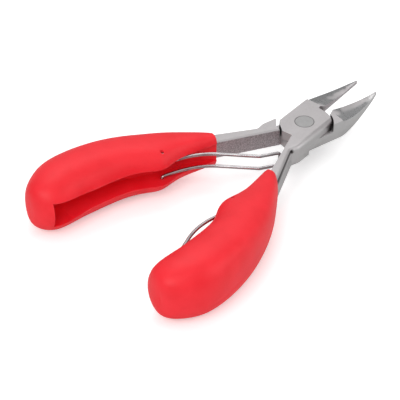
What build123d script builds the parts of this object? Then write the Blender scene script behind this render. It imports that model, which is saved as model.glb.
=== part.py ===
"""Spring-opened cutting nippers: two forged lap-joint levers on a flush rivet, two moulded grips and two
hairpin wire springs, one working and one folded into its grip.

Frame: origin on the pivot axis at the joint's flat underside, +X towards the jaw tips along the line between
the jaws, +Z up through the rivet. Everything is drawn with the jaws shut and then opened to the rest angle.
"""
from build123d import *
from math import cos, pi, radians, sin, sqrt
import os

# ---- driving dimensions, millimetres and degrees -------------------------------------------------
STEEL = 7.0                  # full thickness of the joint, the jaws' roots and the tangs
LAP_GAP = 0.06               # oil film between the two lap plates
OPENING = 7.9                # each handle's turn from shut to the rest position
BLADE_GAP = 0.03             # each blade's stand-off from the cutting line when shut

JAW_LENGTH = 32.6            # pivot to tip
JAW_ROOT = 9.5               # where the jaw's outer edge starts to run in
BLADE_START = 12.8           # the cutting edges run from here to the tips
JOINT_HALF_WIDTH = 7.3       # pivot axis to the joint's long outer edges
PLATE_FRONT_RADIUS = 9.7     # lap plate's round front
SOCKET_RADIUS = 10.4         # hollow in the other lever that the round front turns in
PLATE_REAR = -9.2            # lap plate's rear edge
SHOULDER_FRONT = -9.8        # the other lever's shoulder, just behind that edge
CROTCH_RADIUS = 1.05         # half-round relief where the jaw leaves the plate's round front

FLANK_ROUND = 1.6            # the joint's flanks are rounded over on the side that shows
TANG_CHAMFER = 0.5
FLUTE_RADIUS = 0.75

FACET_START = 11.6           # the hollow-ground top facet begins just ahead of the round front
SLOPE_START = 12.2           # and the slope beneath a little further on
FACET_LEAN = 5.0             # both facets fall away from the cutting line
LAND_BOTTOM = 5.3            # height where the bevel meets the cutting land
BEVEL_WIDTH = 3.1            # how far the bevel has cut back at the height of the underside

RIVET_HEAD_RADIUS = 3.4
RIVET_HEAD_DEPTH = 1.6
RIVET_SHANK_RADIUS = 2.1
RIVET_FOOT_RADIUS = 2.9
RIVET_FOOT_DEPTH = 1.2
RUNNING_CLEARANCE = 0.05

TANG_KNEE = -40.0            # the tang bends a little inside the grip
TANG_END = -66.0

WIRE_RADIUS = 0.6
LEG_HEIGHT = 2.63            # each spring leg above or below the mid plane
SPRING_END_HEIGHT = 7.4      # bent leg ends, in the grip's cheeks
ANCHOR_X = -54.4             # the spring's bent ends, in the shut left grip
ANCHOR_Y = 9.7
FOLD_ANGLE = 155.0           # from a spring's working place to its folded one

GRIP_FRONT = 6.3             # half thickness at the front end
GRIP_THICKEST = 11.2         # half thickness near the tail
CHANNEL_END = -98.3
CHANNEL_FLARE = 1.4          # how much higher, each way, the channel opens at its end wall
HOLE_CLEARANCE = 0.08

MID = STEEL / 2


def slab(outline, low, high):
    """A prism standing on a closed plan outline."""
    return extrude(Plane.XY.offset(low) * make_face(outline), high - low)


def turned_over(solid):
    """A half turn about the long axis at mid thickness: how the second, identical piece is fitted."""
    return Pos(0, 0, MID) * Rot(180, 0, 0) * Pos(0, 0, -MID) * solid


# ---- levers, drawn shut as the upper one, with its handle on -Y and its jaw on +Y ------------------
def jaw_outline(root_points):
    """Plan of one jaw: round the tip, back to the root and along the cutting line."""
    tip = (JAW_LENGTH, 0.4)
    belly = (21.5, 4.9)
    heel = (JAW_ROOT, JOINT_HALF_WIDTH)
    start = (JAW_LENGTH, BLADE_GAP)
    back = Spline([tip, belly, heel], tangents=[(-0.89, 0.46), (-1, 0)])
    return Line(start, tip) + back + Polyline(heel, *root_points, start)


def plate_outline():
    """Lap plate with a round front, straight flanks and one chamfered rear corner."""
    side = JOINT_HALF_WIDTH
    front = (PLATE_FRONT_RADIUS, BLADE_GAP)
    middle = (PLATE_FRONT_RADIUS * cos(radians(24)), -PLATE_FRONT_RADIUS * sin(radians(24)))
    front_corner = (sqrt(PLATE_FRONT_RADIUS ** 2 - side ** 2), -side)
    round_front = ThreePointArc(front, middle, front_corner)
    rest = Polyline(front_corner, (SHOULDER_FRONT, -side), (SHOULDER_FRONT, -1.5), (PLATE_REAR, -1.5),
                    (PLATE_REAR, 2.9), (-6.2, 6.3), (-4.8, side), (JAW_ROOT, side), (JAW_ROOT, BLADE_GAP),
                    front)
    return round_front + rest


def tang_outline():
    """Shoulder behind the joint, a short S in its outer edge, then the slim tang with one bend."""
    shoulder_front = (-6.9, -JOINT_HALF_WIDTH)
    shoulder_back = (-12.2, -JOINT_HALF_WIDTH)
    neck = (-16.5, -6.4)
    s_curve = Spline([shoulder_back, neck], tangents=[(-1, 0), (-1, -0.4)])
    outer_edge = Polyline(neck, (TANG_KNEE, -15.8), (TANG_END, -23.6))
    inner_edge = Polyline((TANG_END, -20.6), (-42.0, -13.2), (-34.0, -8.8), (SHOULDER_FRONT, -1.5),
                          (SHOULDER_FRONT, -3.5), shoulder_front)
    return (Line(shoulder_front, shoulder_back) + s_curve + outer_edge
            + Line((TANG_END, -23.6), (TANG_END, -20.6)) + inner_edge)


def forging():
    """One lever before its jaw is ground: half its thickness at the lap, all of it elsewhere."""
    seam_low = MID - LAP_GAP / 2
    seam_high = MID + LAP_GAP / 2
    jaw_top = slab(jaw_outline([(JAW_ROOT, BLADE_GAP)]), seam_high, STEEL)
    crotch = Pos(PLATE_FRONT_RADIUS + CROTCH_RADIUS, 0, STEEL) * Cylinder(CROTCH_RADIUS, STEEL - LAP_GAP)
    upper_half = slab(plate_outline(), seam_high, STEEL) + jaw_top - crotch
    relief = [(4.0, JOINT_HALF_WIDTH), (4.0, 1.9), (10.1, 1.9), (BLADE_START, BLADE_GAP)]
    lower_half = slab(jaw_outline(relief), 0, seam_high) - Cylinder(SOCKET_RADIUS, 4 * STEEL)
    return eased(upper_half + lower_half + slab(tang_outline(), 0, STEEL))


def eased(solid):
    """Round over the plate's long flank above, and chamfer the tang's inner edge beneath."""
    flank = solid.edges().filter_by(Axis.X).group_by(Axis.Z)[-1].sort_by(Axis.Y)[0]
    rounded = fillet(flank, FLANK_ROUND)
    middle_of_inner_edge = Vertex(-22.0, -5.2, 0)
    inner_edge = rounded.edges().group_by(Axis.Z)[0].sort_by_distance(middle_of_inner_edge)[0]
    return chamfer(inner_edge, TANG_CHAMFER)


def grinding(side):
    """What is ground off a jaw: a hollow on top, a slope beneath and a bevel below the cutting line."""
    far = JAW_LENGTH + 3
    above = STEEL + 5
    below = -5
    half_width = 12
    top_arc = ThreePointArc((FACET_START, STEEL), (20.0, 5.9), (far, 7.1))
    top_rest = Polyline((far, 7.1), (far, above), (FACET_START, above), (FACET_START, STEEL))
    under_arc = ThreePointArc((SLOPE_START, 0), (21.0, 2.2), (far, 6.2))
    under_rest = Polyline((far, 6.2), (far, below), (SLOPE_START, below), (SLOPE_START, 0))
    hollow = extrude(Plane.XZ * make_face(top_arc + top_rest), half_width, both=True)
    slope = extrude(Plane.XZ * make_face(under_arc + under_rest), half_width, both=True)
    lean = Pos(0, 0, LAND_BOTTOM) * Rot(-FACET_LEAN * side, 0, 0) * Pos(0, 0, -LAND_BOTTOM)
    bevel_back = side * BEVEL_WIDTH * (LAND_BOTTOM - below) / LAND_BOTTOM
    bevel_profile = Polyline((0, LAND_BOTTOM), (0, below), (bevel_back, below), (0, LAND_BOTTOM))
    bevel = extrude(Plane.YZ.offset(BLADE_START) * make_face(bevel_profile), far - BLADE_START)
    return lean * hollow + slope + bevel


def tang_flute():
    """Deep narrow flute along the tang's outer flank, close under its top edge."""
    start = (-15.5, -6.15, 5.8)
    finish = (-36.0, -14.1, 6.0)
    axis = Line(start, finish)
    return sweep(Plane(origin=axis @ 0, z_dir=axis % 0) * Circle(FLUTE_RADIUS), path=axis)


def lever(solid, bore_radius, recess_radius, recess_depth, recess_top):
    """Bore the pivot hole and sink the recess that holds one end of the rivet."""
    bore = Cylinder(bore_radius, 4 * STEEL)
    if recess_top:
        recess = Pos(0, 0, STEEL - recess_depth / 2 + 1) * Cylinder(recess_radius, recess_depth + 2)
    else:
        recess = Pos(0, 0, recess_depth / 2 - 1) * Cylinder(recess_radius, recess_depth + 2)
    return solid - bore - recess


def upper_lever():
    blank = forging() - grinding(1) - tang_flute()
    return lever(blank, RIVET_SHANK_RADIUS + RUNNING_CLEARANCE, RIVET_HEAD_RADIUS + RUNNING_CLEARANCE,
                 RIVET_HEAD_DEPTH + RUNNING_CLEARANCE, True)


def lower_lever():
    blank = turned_over(forging() - tang_flute()) - grinding(-1)
    return lever(blank, RIVET_SHANK_RADIUS, RIVET_FOOT_RADIUS, RIVET_FOOT_DEPTH, False)


def pivot_rivet():
    """Pin with both ends ground flush with the joint's flat faces."""
    shank = Pos(0, 0, MID) * Cylinder(RIVET_SHANK_RADIUS, STEEL)
    head = Pos(0, 0, STEEL - RIVET_HEAD_DEPTH / 2) * Cylinder(RIVET_HEAD_RADIUS, RIVET_HEAD_DEPTH)
    foot = Pos(0, 0, RIVET_FOOT_DEPTH / 2) * Cylinder(RIVET_FOOT_RADIUS, RIVET_FOOT_DEPTH)
    return shank + head + foot


# ---- grips, drawn shut as the left one, on +Y -------------------------------------------------------
def grip_body():
    """Banana-shaped moulding, lofted between its outer and inner edges."""
    tail = (-102.8, 17.6)
    outer = Spline([(-32.6, 12.2), (-38.0, 16.4), (-48.3, 22.6), (-60.0, 27.4), (-72.0, 30.1), (-84.0, 30.9),
                    (-94.2, 28.9), (-100.8, 23.9), tail], tangents=[(-0.6, 0.7), (0, -1)])
    inner = Spline([(-32.9, 7.0), (-38.0, 7.2), (-46.0, 7.6), (-51.0, 6.8), (-56.0, 5.6), (-62.0, 7.8),
                    (-70.0, 9.8), (-78.0, 9.9), (-86.0, 9.5), (-92.0, 8.7), (-97.5, 8.9), (-101.5, 12.4),
                    tail], tangents=[(-1, 0), (0, 1)])
    stations = [0, 0.05, 0.11, 0.18, 0.25, 0.31, 0.37, 0.44, 0.52, 0.61, 0.70, 0.79, 0.87, 0.93, 0.965, 0.987]
    sections = [grip_section(outer @ t, inner @ t, t) for t in stations]
    return loft([*sections, Vertex(*tail, MID)])


def grip_half_thickness(t):
    """Slim at the front, thickest two thirds along, then rounded off at the tail."""
    swell = GRIP_FRONT + (GRIP_THICKEST - GRIP_FRONT) * sin(pi / 2 * min(1, t / 0.75))
    tail_start = 0.73
    if t <= tail_start:
        return swell
    return swell * sqrt(1 - ((t - tail_start) / (1 - tail_start)) ** 2)


def grip_section(outer, inner, t):
    """Squared oval standing on the line from the inner to the outer edge, one smooth curve per quarter.

    The fuller, the squarer: 0.55 is an ellipse. The sections are squarest in front and rounder at the tail.
    """
    half_thickness = grip_half_thickness(t)
    tail_share = min(1, max(0, (t - 0.55) / 0.4))
    outer_fullness = 0.73 - 0.13 * tail_share
    inner_fullness = 0.80 - 0.18 * min(1, t / 0.4) - 0.05 * tail_share
    centre = (outer + inner) / 2 + Vector(0, 0, MID)
    half_width = (outer - inner) / 2

    def place(across, up):
        return centre + half_width * across + Vector(0, 0, half_thickness * up)

    def quarter(a, b, c, d, fullness):
        return Bezier(place(a, b), place(a + fullness * c, b + fullness * d),
                      place(c + fullness * a, d + fullness * b), place(c, d))

    return make_face([quarter(1, 0, 0, 1, outer_fullness), quarter(0, 1, -1, 0, inner_fullness),
                      quarter(-1, 0, 0, -1, inner_fullness), quarter(0, -1, 1, 0, outer_fullness)])


def grip_channel():
    """Open channel, as high as the tang, along the inner edge, flared towards its flat end wall."""
    front = -31.5
    flare_start = -82.0
    end_height = MID + CHANNEL_FLARE
    floor = Spline([(front, 6.2), (-33.6, 7.9), (-36.2, 9.2), (-40.5, 11.3), (-46.0, 12.2), (-54.0, 13.6),
                    (-62.0, 15.8), (-74.0, 18.5), (CHANNEL_END, 18.4)])
    plan = floor + Polyline((CHANNEL_END, 18.4), (CHANNEL_END, -5), (front, -5), (front, 6.2))
    profile = Polyline((front, MID), (flare_start, MID), (CHANNEL_END, end_height),
                       (CHANNEL_END, -end_height), (flare_start, -MID), (front, -MID), (front, MID))
    elevation = Pos(0, 0, MID) * extrude(Plane.XZ * make_face(profile), 40, both=True)
    return slab(plan, MID - end_height, MID + end_height) & elevation


def grip():
    tang_socket = turned_over(slab(tang_outline(), 0, STEEL) - tang_flute())
    anchor_hole = Pos(ANCHOR_X, ANCHOR_Y, MID) * Cylinder(WIRE_RADIUS + HOLE_CLEARANCE, 40)
    return grip_body() - grip_channel() - tang_socket - anchor_hole


# ---- springs, drawn shut in the left grip -------------------------------------------------------------
def hairpin_spring():
    """Two like legs joined at the far end, each bent out at the near end into a hole in the grip's cheek."""
    plan = [(0, 0), (14.0, -2.0), (30.0, -15.9), (36.9, -18.2)]
    leg_bends = [26.0, 1.5]
    end_bend = 1.0
    upper = [(0, 0, SPRING_END_HEIGHT)] + [(x, y, LEG_HEIGHT) for x, y in plan]
    lower = [(x, y, -z) for x, y, z in reversed(upper)]
    bends = [end_bend, *leg_bends, end_bend, end_bend, *reversed(leg_bends), end_bend]
    path = FilletPolyline(*upper, *lower, radius=bends)
    wire = sweep(Plane(origin=path @ 0, z_dir=path % 0) * Circle(WIRE_RADIUS), path=path)
    return Pos(ANCHOR_X, ANCHOR_Y, MID) * wire


def folded(spring):
    """Swing a spring back about its bent ends, through the space between the handles."""
    return Pos(ANCHOR_X, ANCHOR_Y, 0) * Rot(0, 0, -FOLD_ANGLE) * Pos(-ANCHOR_X, -ANCHOR_Y, 0) * spring


# ---- the assembly at rest -------------------------------------------------------------------------------
def build_nodes():
    open_left = Rot(0, 0, -OPENING)
    open_right = Rot(0, 0, OPENING)
    grip_solid = grip()
    spring = hairpin_spring()
    return {
        "lower_lever": open_left * lower_lever(),
        "upper_lever": open_right * upper_lever(),
        "pivot_rivet": pivot_rivet(),
        "left_grip": open_left * grip_solid,
        "right_grip": open_right * turned_over(grip_solid),
        "working_spring": open_left * spring,
        "stowed_spring": open_right * turned_over(folded(spring)),
    }


os.makedirs("parts", exist_ok=True)
for name, shape in build_nodes().items():
    export_step(shape, f"parts/{name}.step")
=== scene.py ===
"""Looks of the spring-handled cutting nippers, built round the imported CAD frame.

Metres, in the part's own frame: the pivot axis is Z through the origin, the jaws point along +X, and the
joint's flat underside lies in z = 0. Every piece is its CAD node itself, with softened edges: the steel
takes forged, ground, turned or drawn finishes and the grips a moulded plastic one.
"""

import math

import bpy
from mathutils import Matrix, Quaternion, Vector


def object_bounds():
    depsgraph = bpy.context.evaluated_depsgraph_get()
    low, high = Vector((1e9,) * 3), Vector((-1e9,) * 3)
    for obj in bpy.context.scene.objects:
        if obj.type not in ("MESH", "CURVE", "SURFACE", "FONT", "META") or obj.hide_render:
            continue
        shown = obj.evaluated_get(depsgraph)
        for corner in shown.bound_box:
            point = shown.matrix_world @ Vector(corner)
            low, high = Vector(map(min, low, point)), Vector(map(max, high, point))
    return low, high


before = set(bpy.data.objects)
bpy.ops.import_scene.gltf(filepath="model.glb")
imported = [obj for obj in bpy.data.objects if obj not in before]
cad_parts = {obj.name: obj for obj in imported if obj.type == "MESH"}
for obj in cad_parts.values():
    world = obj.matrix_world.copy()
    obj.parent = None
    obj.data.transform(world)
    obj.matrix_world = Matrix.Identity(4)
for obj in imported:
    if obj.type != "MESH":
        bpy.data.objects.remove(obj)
cad_low, cad_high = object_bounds()

MM = 0.001

# Camera, from which the tool is seen lying open with its jaws to the upper right.
CAMERA_AZIMUTH = -44.55
CAMERA_ELEVATION = 38.5
CAMERA_ROLL = 0.85
CAMERA_DISTANCE = 700 * MM
CAMERA_TARGET = Vector((-54.45, -3.615, 3.5)) * MM
CAMERA_LENS = 186.9

# Light: a dome, brighter overhead, and softboxes given by name, place in metres and watts.
DOME_AT_HORIZON = 0.40
DOME_OVERHEAD = 0.80
SOFTBOXES = [
    ("key_softbox", Vector((0.25, 0.38, 0.89)), 2.0),
    ("left_softbox", Vector((-0.72, -0.25, 0.62)), 3.2),
    ("right_softbox", Vector((0.52, -0.72, 0.45)), 1.6),
]
SOFTBOX_SIZE = 0.55
LIT_PLACE = Vector((-45, 0, 5)) * MM

# Floor.
FLOOR_REACH = 6.0
FLOOR_DROP = 0.05 * MM
FLOOR_GLOW = 0.32
FLOOR_IN_STEEL = (0.62, 0.62, 0.62)

# Softened edges: their widths, and the least angle that counts as an edge.
STEEL_EDGE = 0.16 * MM
WIRE_EDGE = 0.12 * MM
GRIP_EDGE = 0.35 * MM
SHARP_ANGLE = math.radians(38)

# Places on the steel, from the pivot axis and the joint's underside.
RIVET_EDGE = 3.42 * MM
HALF_STEEL = 3.5 * MM
JAW_ROOT = 9.5 * MM
JAW_TIP = 28.5 * MM
NECK = -13.5 * MM

# Colour of the painted shade in the steel's gaps, corners and flutes.
PAINTED_SHADE = (0.05, 0.045, 0.045)


# ---------------------------------------------------------------- node building


class Surface:
    """One material under construction: adds nodes, joins sockets and gives its Principled shader."""

    def __init__(self, name):
        self.material = bpy.data.materials.new(name)
        self.material.use_nodes = True
        self.tree = self.material.node_tree
        self.shader = self.tree.nodes["Principled BSDF"]
        self.place = self.add("ShaderNodeTexCoord").outputs["Object"]
        self.normal = self.add("ShaderNodeTexCoord").outputs["Normal"]
        self.x, self.y, self.z = self.parts(self.place)

    def add(self, kind, **settings):
        node = self.tree.nodes.new(kind)
        for key, value in settings.items():
            setattr(node, key, value)
        return node

    def feed(self, socket, value):
        """A socket takes another socket's output, or a plain number or colour."""
        if isinstance(value, bpy.types.NodeSocket):
            self.tree.links.new(value, socket)
        elif isinstance(value, tuple) and len(value) == 3 and socket.type == "RGBA":
            socket.default_value = (*value, 1.0)
        else:
            socket.default_value = value

    def math(self, operation, *values):
        node = self.add("ShaderNodeMath", operation=operation)
        for socket, value in zip(node.inputs, values):
            self.feed(socket, value)
        return node.outputs[0]

    def times(self, first, *others):
        product = first
        for value in others:
            product = self.math("MULTIPLY", product, value)
        return product

    def mix(self, share, first, second):
        """first where share is 0, second where it is 1."""
        node = self.add("ShaderNodeMix", data_type="RGBA")
        self.feed(node.inputs["Factor"], share)
        self.feed(node.inputs["A"], first)
        self.feed(node.inputs["B"], second)
        return node.outputs["Result"]

    def between(self, value, low, high, start=0.0, end=1.0):
        """value taken from the range low to high onto start to end, smoothly, and held at both ends."""
        node = self.add("ShaderNodeMapRange", interpolation_type="SMOOTHSTEP")
        for key, number in (("Value", value), ("From Min", low), ("From Max", high)):
            self.feed(node.inputs[key], number)
        self.feed(node.inputs["To Min"], start)
        self.feed(node.inputs["To Max"], end)
        return node.outputs["Result"]

    def stretched(self, across):
        """The place on the object, scaled by across = (x, y, z), for grain that runs one way."""
        node = self.add("ShaderNodeMapping")
        self.feed(node.inputs["Vector"], self.place)
        self.feed(node.inputs["Scale"], across)
        return node.outputs["Vector"]

    def noise(self, size, detail=2.0, rough=0.5, place=None):
        """Soft random variation, 0 to 1, whose lumps are about size metres wide."""
        node = self.add("ShaderNodeTexNoise")
        self.feed(node.inputs["Vector"], self.place if place is None else place)
        self.feed(node.inputs["Scale"], 1.0 / size)
        self.feed(node.inputs["Detail"], detail)
        self.feed(node.inputs["Roughness"], rough)
        return node.outputs["Fac"]

    def rings(self, spacing, wobble, detail=2.0, detail_scale=1.0):
        """Rings round the pivot axis, 0 to 1, such as a lathe leaves."""
        node = self.add("ShaderNodeTexWave", wave_type="RINGS", rings_direction="Z", wave_profile="SIN")
        self.feed(node.inputs["Vector"], self.place)
        self.feed(node.inputs["Scale"], 1.0 / spacing)
        self.feed(node.inputs["Distortion"], wobble)
        self.feed(node.inputs["Detail"], detail)
        self.feed(node.inputs["Detail Scale"], detail_scale)
        return node.outputs["Fac"]

    def parts(self, vector):
        node = self.add("ShaderNodeSeparateXYZ")
        self.feed(node.inputs[0], vector)
        return node.outputs["X"], node.outputs["Y"], node.outputs["Z"]

    def from_pivot(self):
        """Distance from the pivot axis, along the joint's flat faces."""
        return self.math("SQRT", self.math("ADD", self.times(self.x, self.x), self.times(self.y, self.y)))

    def edge(self, radius):
        """0 on open faces and towards 1 along outer and inner corners of that radius."""
        rounded = self.add("ShaderNodeBevel", samples=6)
        self.feed(rounded.inputs["Radius"], radius)
        flat = self.add("ShaderNodeNewGeometry").outputs["Normal"]
        dot = self.add("ShaderNodeVectorMath", operation="DOT_PRODUCT")
        self.feed(dot.inputs[0], rounded.outputs["Normal"])
        self.feed(dot.inputs[1], flat)
        return self.between(dot.outputs["Value"], 0.995, 0.86)

    def crevice(self, reach):
        """0 in the open and towards 1 in gaps narrower than reach."""
        open_sky = self.add("ShaderNodeAmbientOcclusion", samples=8)
        self.feed(open_sky.inputs["Distance"], reach)
        return self.between(open_sky.outputs["AO"], 0.62, 0.12)

    def bump(self, height, depth, strength=1.0, below=None):
        node = self.add("ShaderNodeBump")
        self.feed(node.inputs["Height"], height)
        self.feed(node.inputs["Distance"], depth)
        self.feed(node.inputs["Strength"], strength)
        if below is not None:
            self.feed(node.inputs["Normal"], below)
        return node.outputs["Normal"]

    def finish(self, **inputs):
        """The material, once its shader's inputs are fed. An underscore stands for a space in their names."""
        for key, value in inputs.items():
            self.feed(self.shader.inputs[key.replace("_", " ")], value)
        return self.material


# ---------------------------------------------------------------- materials


def grip_plastic():
    """Soft moulded red plastic: a fine matte mould grain, faint flow clouds, and paler edges, partly rubbed
    and partly a painted highlight.
    """
    s = Surface("grip_plastic")
    clouds = s.noise(9 * MM, detail=3.0)
    grain = s.noise(0.32 * MM, detail=2.0)
    ripple = s.noise(2.6 * MM, detail=1.0)
    red = s.mix(s.between(clouds, 0.3, 0.7), (0.82, 0.008, 0.018), (0.88, 0.015, 0.027))
    # Paler edges: partly rubbed, partly a painted highlight along the lips.
    rubbed_and_highlight = s.times(s.edge(0.5 * MM), s.between(clouds, 0.35, 0.65, 0.15, 0.45))
    red = s.mix(rubbed_and_highlight, red, (0.96, 0.06, 0.08))
    rough = s.between(s.math("ADD", grain, s.times(clouds, 0.6)), 0.4, 1.2, 0.42, 0.54)
    normal = s.bump(grain, 0.018 * MM, 0.7)
    normal = s.bump(ripple, 0.03 * MM, 0.5, below=normal)
    return s.finish(
        Base_Color=red,
        Roughness=rough,
        Normal=normal,
        IOR=1.48,
        Specular_IOR_Level=0.42,
        Subsurface_Weight=0.08,
        Subsurface_Radius=(0.9, 0.12, 0.08),
        Subsurface_Scale=1.2 * MM,
    )


class LeverFaces:
    """Which of a lever's faces is which, each 0 to 1, told from its place and the way that it faces."""

    def __init__(self, s):
        _, across, up = s.parts(s.normal)
        self.outward = s.times(s.y, across)
        self.flat_top = s.between(up, 0.985, 0.999)
        self.flank = s.between(s.math("ABSOLUTE", up), 0.75, 0.35)
        self.inward_flank = s.times(self.flank, s.between(self.outward, 0.0, -2.0 * MM))
        jaw = s.between(s.x, JAW_ROOT, JAW_ROOT + 2.0 * MM)
        self.ground = s.times(jaw, s.math("SUBTRACT", 1.0, self.flat_top))
        self.hollow = s.times(self.ground, s.between(up, 0.55, 0.80))


def flute(s, faces):
    """The groove along each tang's outward flank: above mid thickness on the right, below it on the left."""
    side = s.math("SIGN", s.times(s.y, -1.0))
    height = s.times(s.math("SUBTRACT", s.z, HALF_STEEL), side)
    inside = s.times(s.between(height, 1.60 * MM, 1.85 * MM), s.between(height, 3.15 * MM, 3.0 * MM))
    behind_neck = s.between(s.x, NECK, NECK - 1.3 * MM)
    return s.times(inside, behind_neck, s.between(faces.outward, 0.3 * MM, 1.2 * MM))


def with_painted_shade(s, faces, steel):
    """Painted shade: dark in the lap gap, the corners and the tangs' flutes, and in a ring round the rivet.
    """
    steel = s.mix(s.crevice(3.0 * MM), steel, PAINTED_SHADE)
    steel = s.mix(s.times(flute(s, faces), 0.85), steel, PAINTED_SHADE)
    # A dark ring of painted shade round the rivet's seam.
    ring = s.times(faces.flat_top, s.between(s.from_pivot(), RIVET_EDGE + 0.22 * MM, RIVET_EDGE))
    return s.mix(s.times(ring, 0.75), steel, (0.10, 0.09, 0.09))


def lever_colour(s, faces):
    """Ground steel with painted light: outward flanks painted paler, hollows painted darker as painted shade,
    a painted highlight on the right jaw's tip and paler edges; inward flanks are as forged, speckled, duller
    and browner.
    """
    clouds = s.noise(6 * MM, detail=2.0)
    speckle = s.noise(0.35 * MM, detail=2.0, rough=0.7)
    forged = s.mix(s.between(speckle, 0.35, 0.65), (0.34, 0.30, 0.31), (0.66, 0.60, 0.62))
    steel = s.mix(clouds, (0.48, 0.455, 0.46), (0.55, 0.53, 0.535))
    # Flanks are painted paler than the tops: painted light on them.
    steel = s.mix(faces.flank, steel, (0.58, 0.57, 0.57))
    steel = s.mix(faces.inward_flank, steel, forged)
    # The jaws' hollows are painted darker: painted shade.
    steel = s.mix(faces.hollow, steel, (0.37, 0.37, 0.375))
    # The right jaw's tip is painted brighter than the rest of its hollow: a painted highlight.
    right_tip = s.times(s.between(s.x, JAW_TIP - 3.0 * MM, JAW_TIP), s.between(s.y, -0.5 * MM, -1.5 * MM))
    steel = s.mix(s.times(faces.hollow, right_tip), steel, (0.85, 0.84, 0.84))
    # Edges painted paler: a painted highlight along edges and chamfers, partly worn bare.
    steel = s.mix(s.times(s.edge(0.3 * MM), 0.45), steel, (0.78, 0.78, 0.78))
    return with_painted_shade(s, faces, steel)


def lever_relief(s, faces, tumbled):
    """A tumbled and belt-ground grain, wheel lines across the jaws and turning marks round the pivot."""
    belt = s.noise(1.0, detail=3.0, place=s.stretched((350, 4500, 4500)))
    wheel = s.noise(1.0, detail=3.0, place=s.stretched((5000, 400, 700)))
    near_pivot = s.between(s.from_pivot(), 8.5 * MM, 4.0 * MM)
    turned = s.rings(4.4 * MM, wobble=1.2, detail=3.0, detail_scale=2.0)
    grain = s.math("ADD", s.times(tumbled, 0.6), s.times(belt, 0.4))
    normal = s.bump(grain, 0.010 * MM, 0.8)
    normal = s.bump(s.times(wheel, faces.ground), 0.008 * MM, 0.6, below=normal)
    return s.bump(s.times(turned, faces.flat_top, near_pivot), 0.008 * MM, 0.6, below=normal)


def lever_steel():
    """Satin tool steel, smoother in the jaws' hollows."""
    s = Surface("lever_steel")
    faces = LeverFaces(s)
    tumbled = s.noise(0.9 * MM, detail=4.0, rough=0.6)
    rough = s.between(tumbled, 0.25, 0.75, 0.38, 0.52)
    return s.finish(
        Base_Color=lever_colour(s, faces),
        Metallic=1.0,
        Roughness=s.math("SUBTRACT", rough, s.times(faces.hollow, 0.16)),
        Normal=lever_relief(s, faces, tumbled),
    )


def rivet_steel():
    """The rivet: a faced head with fine turned rings, a few random scuffs and painted shade along its seam.
    """
    s = Surface("rivet_steel")
    scuffs = s.noise(1.0, detail=3.0, place=s.stretched((2200, 500, 900)))
    steel = s.mix(s.noise(1.6 * MM), (0.38, 0.375, 0.375), (0.46, 0.455, 0.455))
    seam = s.between(s.from_pivot(), RIVET_EDGE - 0.30 * MM, RIVET_EDGE - 0.08 * MM)
    # Painted shade darkens the head along its seam.
    steel = s.mix(s.times(seam, 0.7), steel, (0.12, 0.11, 0.11))
    normal = s.bump(s.rings(1.0 * MM, wobble=0.8), 0.006 * MM, 0.6)
    normal = s.bump(scuffs, 0.012 * MM, 0.6, below=normal)
    return s.finish(
        Base_Color=steel,
        Metallic=1.0,
        Roughness=s.between(scuffs, 0.3, 0.7, 0.30, 0.44),
        Normal=normal,
    )


def spring_wire():
    """Bright drawn spring wire: polished, with faint die lines and a slight heat stain."""
    s = Surface("spring_wire")
    lines = s.noise(1.0, detail=2.0, place=s.stretched((260, 5200, 5200)))
    stain = s.noise(7 * MM, detail=2.0)
    metal = s.mix(s.between(stain, 0.35, 0.7), (0.52, 0.50, 0.51), (0.36, 0.34, 0.35))
    return s.finish(
        Base_Color=metal,
        Metallic=1.0,
        Roughness=s.between(lines, 0.3, 0.7, 0.13, 0.24),
        Normal=s.bump(lines, 0.006 * MM, 0.5),
    )


def white_floor():
    """A matte white sheet with a faint tooth: clean white where it is looked at, greyer in reflections."""
    s = Surface("floor_white")
    tooth = s.noise(4 * MM, detail=3.0)
    paper = s.mix(tooth, (0.94, 0.94, 0.94), (0.96, 0.96, 0.96))
    paths = s.add("ShaderNodeLightPath")
    looked_at = paths.outputs["Is Camera Ray"]
    mirrored = paths.outputs["Is Glossy Ray"]
    return s.finish(
        Base_Color=s.mix(mirrored, paper, FLOOR_IN_STEEL),
        Roughness=0.9,
        Emission_Color=(1.0, 1.0, 1.0),
        Emission_Strength=s.times(looked_at, FLOOR_GLOW),
    )


# ---------------------------------------------------------------- pieces


def dress(node, material, edge):
    """A CAD node keeps its mesh, takes a material, and its sharp edges are softened."""
    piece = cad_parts[node]
    piece.data.materials.clear()
    piece.data.materials.append(material)
    weld = piece.modifiers.new("weld", "WELD")
    weld.merge_threshold = 0.001 * MM
    soften = piece.modifiers.new("soften", "BEVEL")
    soften.width = edge
    soften.segments = 2
    soften.limit_method = "ANGLE"
    soften.angle_limit = SHARP_ANGLE
    soften.harden_normals = True
    return piece


def floor():
    """A wide level sheet just under the tool."""
    height = cad_low.z - FLOOR_DROP
    corners = [(-1, -1), (1, -1), (1, 1), (-1, 1)]
    mesh = bpy.data.meshes.new("floor")
    mesh.from_pydata([(x * FLOOR_REACH, y * FLOOR_REACH, height) for x, y in corners], [], [(0, 1, 2, 3)])
    sheet = bpy.data.objects.new("floor", mesh)
    bpy.context.scene.collection.objects.link(sheet)
    mesh.materials.append(white_floor())


def softbox(name, place, watts):
    """A square area light turned to the middle of the tool."""
    light = bpy.data.lights.new(name, "AREA")
    light.shape = "SQUARE"
    light.size = SOFTBOX_SIZE
    light.energy = watts
    lamp = bpy.data.objects.new(name, light)
    lamp.location = place
    lamp.rotation_mode = "QUATERNION"
    lamp.rotation_quaternion = (LIT_PLACE - place).to_track_quat("-Z", "Y")
    bpy.context.scene.collection.objects.link(lamp)


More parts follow.
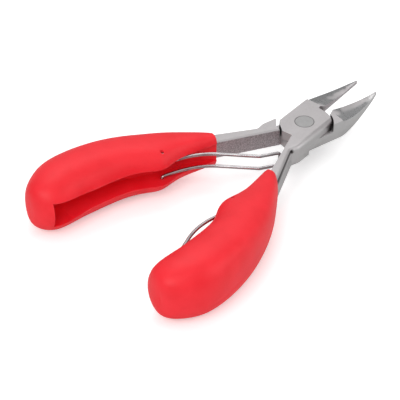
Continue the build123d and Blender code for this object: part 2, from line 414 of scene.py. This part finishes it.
def dome():
    """White light from all round that dims towards the horizon."""
    world = bpy.data.worlds.new("studio")
    bpy.context.scene.world = world
    world.use_nodes = True
    tree = world.node_tree
    direction = tree.nodes.new("ShaderNodeTexCoord")
    height = tree.nodes.new("ShaderNodeSeparateXYZ")
    strength = tree.nodes.new("ShaderNodeMapRange")
    strength.inputs["To Min"].default_value = DOME_AT_HORIZON
    strength.inputs["To Max"].default_value = DOME_OVERHEAD
    tree.links.new(direction.outputs["Generated"], height.inputs[0])
    tree.links.new(height.outputs["Z"], strength.inputs["Value"])
    lit = tree.nodes["Background"]
    tree.links.new(strength.outputs["Result"], lit.inputs["Strength"])
    lit.inputs["Color"].default_value = (1, 1, 1, 1)
    # Past the floor's edge the backdrop is plain white to look at.
    seen = tree.nodes.new("ShaderNodeBackground")
    seen.inputs["Color"].default_value = (1, 1, 1, 1)
    choice = tree.nodes.new("ShaderNodeMixShader")
    tree.links.new(tree.nodes.new("ShaderNodeLightPath").outputs["Is Camera Ray"], choice.inputs[0])
    tree.links.new(lit.outputs[0], choice.inputs[1])
    tree.links.new(seen.outputs[0], choice.inputs[2])
    tree.links.new(choice.outputs[0], tree.nodes["World Output"].inputs["Surface"])


def studio():
    """The dome, with one softbox behind the tool and one to each side of the camera."""
    dome()
    for name, place, watts in SOFTBOXES:
        softbox(name, place, watts)
    bpy.context.scene.view_settings.view_transform = "Standard"


def camera():
    """The view from which the tool lies with its jaws to the upper right, rolled by a hair."""
    azimuth = math.radians(CAMERA_AZIMUTH)
    elevation = math.radians(CAMERA_ELEVATION)
    back = Vector(
        (
            math.sin(azimuth) * math.cos(elevation),
            -math.cos(azimuth) * math.cos(elevation),
            math.sin(elevation),
        )
    )
    data = bpy.data.cameras.new("camera")
    data.sensor_width = 36
    data.lens = CAMERA_LENS
    data.clip_start = 0.05
    data.clip_end = 20
    eye = bpy.data.objects.new("camera", data)
    eye.location = CAMERA_TARGET + back * CAMERA_DISTANCE
    eye.rotation_mode = "QUATERNION"
    level = (-back).to_track_quat("-Z", "Y")
    eye.rotation_quaternion = Quaternion(back, math.radians(CAMERA_ROLL)) @ level
    bpy.context.scene.collection.objects.link(eye)
    bpy.context.scene.camera = eye


# ---------------------------------------------------------------- the scene

steel = lever_steel()
for lever in ("lower_lever", "upper_lever"):
    dress(lever, steel, STEEL_EDGE)
dress("pivot_rivet", rivet_steel(), STEEL_EDGE)
wire = spring_wire()
for spring in ("working_spring", "stowed_spring"):
    dress(spring, wire, WIRE_EDGE)
plastic = grip_plastic()
for grip in ("left_grip", "right_grip"):
    dress(grip, plastic, GRIP_EDGE)

floor()
studio()
camera()
